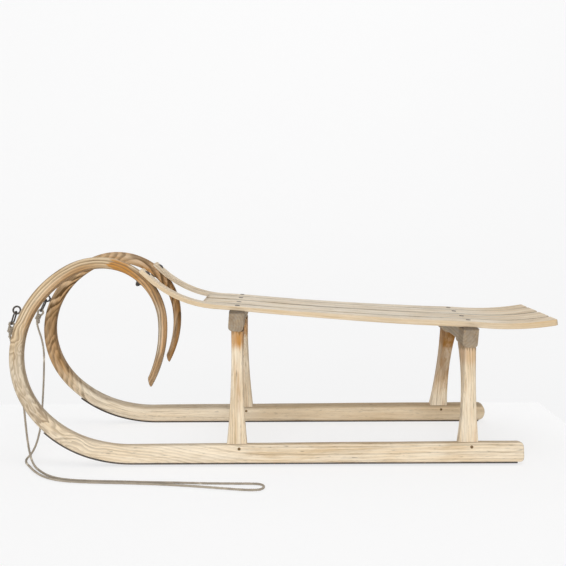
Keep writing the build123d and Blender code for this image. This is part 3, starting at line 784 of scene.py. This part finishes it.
# Bent boards
class Line:
    """A flat line of straights and arcs, as rows of length and turn to the left."""

    def __init__(self, start, heading, rows):
        self.rows = []
        point = Vector(start)
        for run, turn in rows:
            self.rows.append((point.copy(), heading, run, turn))
            point = self.step(point, heading, run, turn, run)[0]
            heading += turn
        self.length = sum(row[2] for row in self.rows)

    @staticmethod
    def step(point, heading, run, turn, way):
        if turn == 0.0:
            return point + Vector((math.cos(heading), math.sin(heading))) * way, heading
        radius = run / turn
        now = heading + turn * way / run
        side = Vector((math.sin(now) - math.sin(heading), math.cos(heading) - math.cos(now)))
        return point + side * radius, now

    def at(self, way):
        """The point and heading at a way along the line; past its ends it runs straight on."""
        point, heading, run, turn = self.rows[0]
        if way < 0.0:
            return self.step(point, heading, run, 0.0, way)
        for point, heading, run, turn in self.rows:
            if way <= run:
                return self.step(point, heading, run, turn, way)
            way -= run
        end, last = self.step(point, heading, run, turn, run)
        return self.step(end, last, run, 0.0, way)


def between(rows, way):
    """Straight-line values from rows of place and values."""
    if way <= rows[0][0]:
        return rows[0][1:]
    for low, high in zip(rows, rows[1:]):
        if way <= high[0]:
            share = (way - low[0]) / (high[0] - low[0])
            return tuple(a + (b - a) * share for a, b in zip(low[1:], high[1:]))
    return rows[-1][1:]


def rounding(way, total, radius):
    """How far an edge draws in near a rounded end."""
    near = min(way, total - way)
    if near >= radius:
        return 0.0
    return radius - math.sqrt(max(radius**2 - (radius - max(near, 0.0)) ** 2, 0.0))


def fitted(value, half, edge, new_half, new_edge):
    """Moves a place in the stock's section to a section of another size, with its corners round."""
    new_edge = min(new_edge, EDGE_LIMIT * new_half)
    size = abs(value)
    flat = half - edge
    if size <= flat:
        moved = size / flat * (new_half - new_edge)
    else:
        moved = new_half - new_edge + (size - flat) / edge * new_edge
    return math.copysign(moved, value)


def stock(total, depth, width, edge, step):
    """A straight bar along X with rounded long edges, and its layers for grain and section.

    Y is its depth and Z its width, both centred.
    """
    bm = bmesh.new()
    bmesh.ops.create_cube(bm, size=1.0)
    bmesh.ops.translate(bm, verts=bm.verts, vec=(0.5, 0.0, 0.0))
    bmesh.ops.scale(bm, verts=bm.verts, vec=(total, depth, width))

    def running(axis, least):
        return [e for e in bm.edges if abs(e.verts[0].co[axis] - e.verts[1].co[axis]) > least]

    def at_corner(vert):
        off_depth = abs(vert.co.y) - depth / 2
        off_width = abs(vert.co.z) - width / 2
        return abs(off_depth) < TOUCH and abs(off_width) < TOUCH

    for axis, size in ((1, depth), (2, width)):
        bmesh.ops.subdivide_edges(bm, edges=running(axis, size / 2), cuts=3, use_grid_fill=True)
    bmesh.ops.bevel(
        bm,
        geom=[e for e in running(0, total / 2) if all(at_corner(v) for v in e.verts)],
        offset=edge,
        affect="EDGES",
        segments=5,
        profile=0.5,
        material=-1,
        clamp_overlap=False,
    )
    steps = round(total / step)
    bmesh.ops.subdivide_edges(bm, edges=running(0, total / 2), cuts=steps, use_grid_fill=True)
    for way in END_CUTS:
        for place in (way, total - way):
            cut_across(bm, place)
    grain = bm.verts.layers.float_vector.new("grain")
    section = bm.verts.layers.float_vector.new("section")
    return bm, grain, section


def cut_across(bm, x):
    """Cuts every face along a plane across X."""
    everything = bm.verts[:] + bm.edges[:] + bm.faces[:]
    bmesh.ops.bisect_plane(bm, geom=everything, dist=TOUCH, plane_co=(x, 0, 0), plane_no=(1, 0, 0))


def finish_board(bm, name, material, node):
    """Turns a bent board into an object that stands for its node."""
    bmesh.ops.recalc_face_normals(bm, faces=bm.faces)
    board = new_piece(bm, name, material)
    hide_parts(node)


def add_object(name, data):
    added = bpy.data.objects.new(name, data)
    bpy.context.scene.collection.objects.link(added)
    return added


def mesh_from(bm, name):
    mesh = bpy.data.meshes.new(name)
    bm.to_mesh(mesh)
    bm.free()
    return mesh


def new_piece(bm, name, material, smooth=True):
    for face in bm.faces:
        face.smooth = smooth
    return piece_from_mesh(mesh_from(bm, name), name, material)


def piece_from_mesh(mesh, name, material):
    mesh.materials.clear()
    mesh.materials.append(material)
    piece = add_object(name, mesh)
    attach(piece, BODY)
    return piece


def lean_matrix(side):
    """From the runner's plane (forward, up the lean, inward) to the sled; side is 1 on the left."""
    return Matrix((
        (1.0, 0.0, 0.0, 0.0),
        (0.0, -side * math.sin(CANT), -side * math.cos(CANT), side * HALF_TRACK),
        (0.0, math.cos(CANT), -math.sin(CANT), SHOE_LIFT),
        (0.0, 0.0, 0.0, 1.0),
    ))


def runner_line():
    rows = [(BEND_START - RUNNER_TAIL, 0.0)]
    for degrees, radius, depth, share in BENDS:
        turn = math.radians(degrees)
        rows.append((turn * radius, turn))
    rows.append((TIP_REACH, 0.0))
    return Line((RUNNER_TAIL, SHOE_THICK), 0.0, rows)


def runner_sections(timber):
    """Rows of way along the runner, depth, width and edge rounding."""
    way = BEND_START - RUNNER_TAIL
    rows = [
        (0.0, RUNNER_TAIL_DEPTH, RUNNER_WIDTH, timber.runner_edge),
        (way, RUNNER_DEPTH, RUNNER_WIDTH, timber.runner_edge),
    ]
    for degrees, radius, depth, share in BENDS:
        way += math.radians(degrees) * radius
        rows.append((way, depth, RUNNER_WIDTH * share, timber.horn_edge))
    return rows


def bend_runner(side, name, material, seed, tail_rounds):
    """Planes a straight bar to the runner's taper and bends it round its line."""
    timber = bpy.context.scene.sled_timber
    line = runner_line()
    sections = runner_sections(timber)
    total = line.length
    stock_edge = timber.runner_edge
    bm, grain, section = stock(total, RUNNER_DEPTH, RUNNER_WIDTH, stock_edge, timber.board_step)
    for vert in bm.verts:
        way, height, across = vert.co
        depth, width, edge = between(sections, way)
        wave = noise.noise((way * RUNNER_WAVES[0], height * RUNNER_WAVES[1], seed)) * timber.wander
        sway = noise.noise((way * RUNNER_SWAYS[0], seed, across * RUNNER_SWAYS[1])) * timber.wander
        if way < total / 2:
            low = rounding(way, 2 * total, tail_rounds[0])
            high = rounding(way, 2 * total, tail_rounds[1])
            thin = rounding(way, 2 * total, TAIL_SIDE_ROUND)
        else:
            low = high = thin = rounding(way, total, TIP_ROUND)
        half = (depth - low - high) / 2
        height = low + half + fitted(height, RUNNER_DEPTH / 2, stock_edge, half, edge)
        across = fitted(across, RUNNER_WIDTH / 2, stock_edge, width / 2 - thin, edge)
        slant = max(0.0, (way - total + TIP_SLANT_RUN) / TIP_SLANT_RUN) ** TIP_SLANT_POWER
        vert[grain] = (way, height, across)
        vert[section] = (height / depth, 2 * across / width, 0.0)
        point, heading = line.at(way - TIP_SLANT * slant * height / depth)
        height += wave
        vert.co = (
            point.x - math.sin(heading) * height,
            point.y + math.cos(heading) * height,
            across + sway,
        )
    bmesh.ops.transform(bm, matrix=lean_matrix(side), verts=bm.verts)
    finish_board(bm, name + "_wood", material, name)


def slat_line(front_x):
    """The slats' underside, from the tail forward: to a front, or up to the horn if that is None."""
    tail_z = SEAT_FRONT_Z + (TAIL_BEND_START - FRONT_BAR_X) * math.tan(SEAT_SLOPE)
    centre_x = TAIL_BEND_START - TAIL_BEND_RADIUS * math.sin(SEAT_SLOPE)
    centre_z = tail_z + TAIL_BEND_RADIUS * math.cos(SEAT_SLOPE)
    droop = math.asin((centre_x - SLAT_TAIL_X) / TAIL_BEND_RADIUS)
    tail_turn = droop + SEAT_SLOPE
    straight_end = FRONT_BEND_START if front_x is None else front_x
    rows = [
        (TAIL_BEND_RADIUS * tail_turn, tail_turn),
        ((straight_end - TAIL_BEND_START) / math.cos(SEAT_SLOPE), 0.0),
    ]
    if front_x is None:
        front_turn = HORN_SLOPE - SEAT_SLOPE
        bend_run = FRONT_BEND_RADIUS * (math.sin(HORN_SLOPE) - math.sin(SEAT_SLOPE))
        tip_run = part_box("slat_outer_left")[1].x - FRONT_BEND_START - bend_run
        rows.append((FRONT_BEND_RADIUS * front_turn, front_turn))
        rows.append((tip_run / math.cos(HORN_SLOPE), 0.0))
    return Line((SLAT_TAIL_X, centre_z - TAIL_BEND_RADIUS * math.cos(droop)), -droop, rows)


def seat_sag(x):
    """The boards dip a little between the crossbars."""
    middle = (FRONT_BAR_X + REAR_BAR_X) / 2
    reach = (FRONT_BAR_X - REAR_BAR_X) / 2
    return SEAT_SAG * max(0.0, 1.0 - ((x - middle) / reach) ** 2)


def bend_slat(line, tail_edges, front_edges, name, material, seed):
    """Planes a straight board to a slat's taper and bends it to the seat's line."""
    timber = bpy.context.scene.sled_timber
    total = line.length
    tail_run = line.rows[0][2]
    seat_run = tail_run + line.rows[1][2]
    thick = [(0.0, SLAT_THICK_TAIL), (tail_run, SLAT_THICK_TAIL), (seat_run, SLAT_THICK_FRONT)]
    stock_width = abs(tail_edges[1] - tail_edges[0])
    front_x = line.at(total)[0].x
    edge = timber.slat_edge
    bm, grain, section = stock(total, SLAT_THICK_TAIL, stock_width, edge, timber.board_step)
    for vert in bm.verts:
        way, height, across = vert.co
        depth = between(thick, way)[0]
        point, heading = line.at(way)
        share = (point.x - SLAT_TAIL_X) / (front_x - SLAT_TAIL_X)
        inner = tail_edges[0] + (front_edges[0] - tail_edges[0]) * share
        outer = tail_edges[1] + (front_edges[1] - tail_edges[1]) * share
        width = abs(outer - inner)
        half_depth = depth / 2 - rounding(way, total, SLAT_END_ROUND)
        half_width = width / 2 - rounding(way, total, SLAT_CORNER_ROUND)
        wave = noise.noise((way * SLAT_WAVES[0], seed, across * SLAT_WAVES[1])) * timber.wander
        sway = noise.noise((way * SLAT_SWAYS, seed, 3.0)) * timber.wander
        height = depth / 2 + fitted(height, SLAT_THICK_TAIL / 2, edge, half_depth, edge)
        across = fitted(across, stock_width / 2, edge, half_width, edge)
        vert[grain] = (way, height, across)
        vert[section] = (height / depth, 2 * across / width, 0.0)
        middle = (inner + outer) / 2
        height += wave
        vert.co = (
            point.x - math.sin(heading) * height,
            middle + across + sway,
            point.y + math.cos(heading) * height - seat_sag(point.x),
        )
    finish_board(bm, name + "_wood", material, name)


# Rope
def curve_mesh(name, kind, routes, **settings):
    """The mesh of a curve that has one open spline for each route."""
    data = bpy.data.curves.new(name, "CURVE")
    data.dimensions = "3D"
    for key, setting in settings.items():
        setattr(data, key, setting)
    for points in routes:
        spline = data.splines.new(kind)
        spline.points.add(len(points) - 1)
        for control, point in zip(spline.points, points):
            control.co = (*point, 1.0)
        if kind == "NURBS":
            spline.order_u = 3
            spline.use_endpoint_u = True
    guide = add_object(name, data)
    bpy.context.view_layer.update()
    mesh = bpy.data.meshes.new_from_object(guide)
    bpy.data.objects.remove(guide)
    bpy.data.curves.remove(data)
    return mesh


def route_points(name, points, resolution):
    """Points along a smooth open spline with the route's points as its control points."""
    mesh = curve_mesh(name, "NURBS", [points], resolution_u=resolution)
    line = [vert.co.copy() for vert in mesh.vertices]
    bpy.data.meshes.remove(mesh)
    return line


def strand_points(line, offset, lay, phase):
    """A helix round a line, carried along it without extra twist."""
    side = (line[1] - line[0]).orthogonal().normalized()
    way = 0.0
    points = []
    for index, point in enumerate(line):
        before = line[max(index - 1, 0)]
        after = line[min(index + 1, len(line) - 1)]
        tangent = (after - before).normalized()
        side = (side - tangent * side.dot(tangent)).normalized()
        other = tangent.cross(side)
        way += (point - before).length
        turn = phase + 2 * math.pi * way / lay
        points.append(point + (side * math.cos(turn) + other * math.sin(turn)) * offset)
    return points


def lay_rope(name, line, material):
    """Twists strands round a line and joins them in one mesh."""
    rope = bpy.context.scene.sled_rope
    strand = rope.diameter / 2 * STRAND_SHARE
    offset = rope.diameter / 2 - strand
    phases = [2 * math.pi * index / rope.strands for index in range(rope.strands)]
    strands = [strand_points(line, offset, rope.lay, phase) for phase in phases]
    mesh = curve_mesh(
        name + "_guide", "POLY", strands, bevel_depth=strand, bevel_resolution=1, use_fill_caps=True
    )
    mesh.name = name
    mesh.polygons.foreach_set("use_smooth", [True] * len(mesh.polygons))
    return piece_from_mesh(mesh, name, material)


def knot_route():
    """From the tucked end up through the link, down again and in turns round the rope."""
    hung = Matrix((LINK_ACROSS, LINK_FACE, LINK_DOWN)).transposed()
    top = Vector(ROPE_START) - LINK_DOWN * KNOT_LENGTH
    points = list(KNOT_TUCK)
    for angle in KNOT_LOOP_ANGLES:
        turn = math.radians(angle)
        drop = KNOT_LOOP_DROP - KNOT_LOOP_RADIUS * math.sin(turn)
        points.append((KNOT_LOOP_DRIFT * angle, -KNOT_LOOP_RADIUS * math.cos(turn), drop))
    for index in range(KNOT_TURNS * KNOT_TURN_STEPS + 1):
        turns = index / KNOT_TURN_STEPS
        turn = 2 * math.pi * turns
        drop = KNOT_TURN_TOP + KNOT_TURN_PITCH * turns
        points.append((KNOT_TURN_RADIUS * math.sin(turn), KNOT_TURN_RADIUS * math.cos(turn), drop))
    points += KNOT_END
    return [top + hung @ Vector(point) for point in points]


# Fittings
def screw_head(diameter):
    """A worn round head, a little proud of the wood, with a slot across it."""
    bm = bmesh.new()
    radius = diameter / 2
    slot_edge = diameter / 16
    bmesh.ops.create_cone(
        bm, cap_ends=True, segments=32, radius1=radius, radius2=radius, depth=SCREW_DEPTH
    )
    bmesh.ops.translate(bm, verts=bm.verts, vec=(0.0, 0.0, -SCREW_SLOT))
    for place in (-slot_edge, slot_edge):
        cut_across(bm, place)
    tops = [face for face in bm.faces if face.normal.z > 0.9]
    halves = [face for face in tops if abs(face.calc_center_median().x) > slot_edge]
    raised = bmesh.ops.extrude_discrete_faces(bm, faces=halves)["faces"]
    lifted = list({vert for face in raised for vert in face.verts})
    bmesh.ops.translate(bm, verts=lifted, vec=(0.0, 0.0, SCREW_SLOT))
    bmesh.ops.recalc_face_normals(bm, faces=bm.faces)
    return bm


def dress(node, material):
    """Gives a CAD node its finish."""
    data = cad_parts[node].data
    data.materials.clear()
    data.materials.append(material)


# Operators
class SLED_OT_stage(bpy.types.Operator):
    """Camera, table, wall and lamps"""

    bl_idname = "sled.stage"
    bl_label = "Set the Stage"

    def execute(self, context):
        stage = context.scene.sled_stage
        self.add_camera(context.scene)
        flat = Matrix.Translation(TABLE_MIDDLE)
        self.add_sheet("table", flat, TABLE_SIZE, stage.floor, TABLE_PLAIN)
        upright = Matrix.Translation(WALL_MIDDLE) @ Matrix.Rotation(math.pi / 2, 4, "X")
        self.add_sheet("wall", upright, WALL_SIZE, stage.wall, WALL_PLAIN)
        self.add_lamp("key", KEY_PLACE, KEY_WIDTH, stage.key_power)
        self.add_lamp("top", TOP_PLACE, TOP_WIDTH, stage.key_power * TOP_SHARE)
        studio = Finish(bpy.data.worlds.new("studio"))
        sky = stage.sky + studio.seen() * (stage.haze - stage.sky)
        white = (1.0, 1.0, 1.0, 1.0)
        light = studio.node("ShaderNodeBackground", None, {"Color": white, "Strength": sky})
        context.scene.world = studio.ended(light, "ShaderNodeOutputWorld")
        context.scene.view_settings.view_transform = "Standard"
        return {"FINISHED"}

    def add_camera(self, scene):
        data = bpy.data.cameras.new("camera")
        data.lens = CAMERA_LENS
        data.sensor_width = CAMERA_SENSOR
        camera = add_object("camera", data)
        ahead = Vector((
            math.sin(CAMERA_YAW) * math.cos(CAMERA_PITCH),
            -math.cos(CAMERA_YAW) * math.cos(CAMERA_PITCH),
            -math.sin(CAMERA_PITCH),
        ))
        right = ahead.cross(Vector((0.0, 0.0, 1.0))).normalized()
        up = right.cross(ahead)
        across = right * math.cos(CAMERA_ROLL) + up * math.sin(CAMERA_ROLL)
        over = up * math.cos(CAMERA_ROLL) - right * math.sin(CAMERA_ROLL)
        turn = Matrix((across, over, -ahead)).transposed()
        camera.matrix_world = Matrix.Translation(CAMERA_PLACE) @ turn.to_4x4()
        scene.camera = camera

    def add_sheet(self, name, place, size, shade, share):
        bm = bmesh.new()
        bmesh.ops.create_grid(bm, x_segments=1, y_segments=1, size=1.0)
        bmesh.ops.scale(bm, verts=bm.verts, vec=size)
        bmesh.ops.transform(bm, matrix=place, verts=bm.verts)
        mesh = mesh_from(bm, name)
        mesh.materials.append(lit_sheet(name + "_paint", shade, share))
        add_object(name, mesh)

    def add_lamp(self, name, place, width, power):
        data = bpy.data.lights.new(name, "AREA")
        data.size = width
        data.energy = power
        turn = (LAMP_AIM - place).to_track_quat("-Z", "Y")
        add_object(name, data).matrix_world = Matrix.Translation(place) @ turn.to_matrix().to_4x4()


class SLED_OT_tow_rope(bpy.types.Operator):
    """Twisted tow rope and its two knots"""

    bl_idname = "sled.tow_rope"
    bl_label = "Lay the Tow Rope"

    def execute(self, context):
        material = hemp("hemp_rope")
        line = route_points("tow_line", ROPE_ROUTE, ROPE_STEPS)
        tow = lay_rope("tow_rope_twist", line, material)
        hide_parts("tow_rope")
        route = knot_route()
        for side, node in ((1, "rope_knot_left"), (-1, "rope_knot_right")):
            points = [Vector((p.x, side * p.y, p.z)) for p in route]
            knot = lay_rope(node + "_twist", route_points(node, points, KNOT_STEPS), material)
            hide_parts(node)
        return {"FINISHED"}


class SLED_OT_runners(bpy.types.Operator):
    """Bent ash runners"""

    bl_idname = "sled.runners"
    bl_label = "Bend the Runners"

    def execute(self, context):
        for side, word, look, seed, tail_rounds in (
            (1, "left", NEAR_RUNNER, 1.7, (0.009, 0.011)),
            (-1, "right", FAR_RUNNER, 5.2, (0.019, 0.019)),
        ):
            material = ash("ash_runner_" + word, board_grain, look)
            bend_runner(side, "runner_" + word, material, seed, tail_rounds)
        return {"FINISHED"}


class SLED_OT_seat(bpy.types.Operator):
    """Seat slats"""

    bl_idname = "sled.seat"
    bl_label = "Bend the Seat Slats"

    def execute(self, context):
        outer_low, outer_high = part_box("slat_outer_left")
        inner_low, inner_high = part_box("slat_inner_left")
        swept = slat_line(None)
        short = slat_line(inner_high.x)
        horn_in = outer_low.y
        horn_out = horn_in + SLAT_HORN_WIDTH
        tail_out = outer_high.y
        tail_in = tail_out - SLAT_TAIL_WIDTH
        gap = tail_in - inner_high.y
        share = (inner_high.x - SLAT_TAIL_X) / (outer_high.x - SLAT_TAIL_X)
        front_in = tail_in + (horn_in - tail_in) * share
        # The inner slats: painted shade in the gaps on both sides
        both_sides = (slat_gap_shade(-1, BEYOND), slat_gap_shade(1, BEYOND))
        for side, word, seed in ((1, "left", 2.0), (-1, "right", 9.0)):
            rubbed = ("tan", side * 0.88, side * 0.98, BEYOND, 0.50)
            one_side = (slat_gap_shade(-side, short.length), rubbed)
            look = ash_look(seed=20.0 + seed, **SEAT_LOOK, sides=one_side)
            material = ash("ash_slat_outer_" + word, board_grain, look)
            tail = [side * y for y in (tail_in, tail_out)]
            front = [side * y for y in (horn_in, horn_out)]
            bend_slat(swept, tail, front, "slat_outer_" + word, material, seed)
            look = ash_look(seed=40.0 + seed, **SEAT_LOOK, sides=both_sides)
            look["stains"] += (("umber", short.length - 0.006, BEYOND, 0.002, 0.0, 0.0, 0.5),)
            material = ash("ash_slat_inner_" + word, board_grain, look)
            tail = [side * y for y in (inner_low.y, tail_in - gap)]
            front = [side * y for y in (inner_low.y, front_in - gap)]
            bend_slat(short, tail, front, "slat_inner_" + word, material, seed + 4.0)
        return {"FINISHED"}


class SLED_OT_seat_screws(bpy.types.Operator):
    """Slotted screws that hold the slats to the crossbars"""

    bl_idname = "sled.seat_screws"
    bl_label = "Drive the Seat Screws"

    def execute(self, context):
        timber = context.scene.sled_timber
        material = iron("screw_iron", rust_share=0.9, roughness=0.5, rubbed=0.25)
        line = slat_line(None)
        tail_run, seat_run = line.rows[0][2], line.rows[1][2]
        seat_start = line.at(tail_run)[0].x
        for place, bar_x in (("front", FRONT_BAR_X), ("rear", REAR_BAR_X)):
            way = tail_run + (bar_x - seat_start) / math.cos(SEAT_SLOPE)
            taper = (SLAT_THICK_FRONT - SLAT_THICK_TAIL) * (way - tail_run) / seat_run
            under = line.at(way)[0]
            top = under.y + (SLAT_THICK_TAIL + taper) / math.cos(SEAT_SLOPE)
            lean = Matrix.Rotation(-SEAT_SLOPE, 4, "Y")
            for slat in ("outer_left", "inner_left", "inner_right", "outer_right"):
                low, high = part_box("slat_" + slat)
                middle = (low.y + high.y) / 2
                turn = Matrix.Rotation(SLOT_TURN * middle + bar_x, 4, "Z")
                seat = Matrix.Translation((under.x, middle, top))
                bm = screw_head(timber.screw_head)
                bmesh.ops.transform(bm, matrix=seat @ lean @ turn, verts=bm.verts)
                new_piece(bm, f"screw_{place}_{slat}", material, smooth=False)
        return {"FINISHED"}


class SLED_OT_frame_wood(bpy.types.Operator):
    """Finish of the legs, crossbars and pegs"""

    bl_idname = "sled.frame_wood"
    bl_label = "Finish the Legs and Crossbars"

    def execute(self, context):
        for side, word in ((1, "left"), (-1, "right")):
            grain = leg_grain(side)
            for place, seed in (("front", 61.0 + side), ("rear", 73.0 + side)):
                name = f"{place}_{word}"
                look = leg_look(side, place, seed)
                dress("leg_" + name, ash("ash_leg_" + name, grain, look))
                look = ash_look(seed=seed + 30.0, bare="umber", tan=0.1, grey=0.1, pore=0.8)
                dress("peg_" + name, ash(f"peg_{name}_wood", grain, look))
        for place, x, seed in (("front", FRONT_BAR_X, 81.0), ("rear", REAR_BAR_X, 87.0)):
            node = "crossbar_" + place
            look = bar_look(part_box(node)[1].z, x, seed)
            dress(node, ash("ash_" + node, bar_grain, look))
        return {"FINISHED"}


class SLED_OT_iron(bpy.types.Operator):
    """Finish of the shoes, eyes, links, bolts and nuts"""

    bl_idname = "sled.iron"
    bl_label = "Finish the Iron"

    def execute(self, context):
        shoe = iron("shoe_iron", rust_share=0.8, roughness=0.42)
        fixing = iron("fixing_iron", rust_share=0.6, roughness=0.38)
        for word in ("left", "right"):
            dress("shoe_" + word, shoe)
            for kind in ("eye", "link", "horn_bolt", "horn_nut"):
                dress(f"{kind}_{word}", fixing)
        return {"FINISHED"}


class SLED_PT_panel(bpy.types.Panel):
    """Sled pieces and their settings"""

    bl_idname = "SLED_PT_panel"
    bl_label = "Horn Sled"
    bl_space_type = "VIEW_3D"
    bl_region_type = "UI"
    bl_category = "Sled"

    def draw(self, context):
        for step in STEPS:
            self.layout.operator(step.bl_idname)
        for name, kind in SETTINGS.items():
            settings = getattr(context.scene, name)
            box = self.layout.box()
            for key in kind.__annotations__:
                box.prop(settings, key)


STEPS = (
    SLED_OT_stage,
    SLED_OT_tow_rope,
    SLED_OT_runners,
    SLED_OT_seat,
    SLED_OT_seat_screws,
    SLED_OT_frame_wood,
    SLED_OT_iron,
)
SETTINGS = {
    "sled_timber": SledTimber,
    "sled_colours": SledColours,
    "sled_rope": SledRope,
    "sled_stage": SledStage,
}


def register():
    for kind in (*SETTINGS.values(), *STEPS, SLED_PT_panel):
        bpy.utils.register_class(kind)
    for name, kind in SETTINGS.items():
        setattr(bpy.types.Scene, name, PointerProperty(type=kind))


def unregister():
    for name in SETTINGS:
        delattr(bpy.types.Scene, name)
    for kind in reversed((*SETTINGS.values(), *STEPS, SLED_PT_panel)):
        bpy.utils.unregister_class(kind)


def main():
    register()
    for step in STEPS:
        group, name = step.bl_idname.split(".")
        getattr(getattr(bpy.ops, group), name)()


if __name__ == "__main__":
    main()
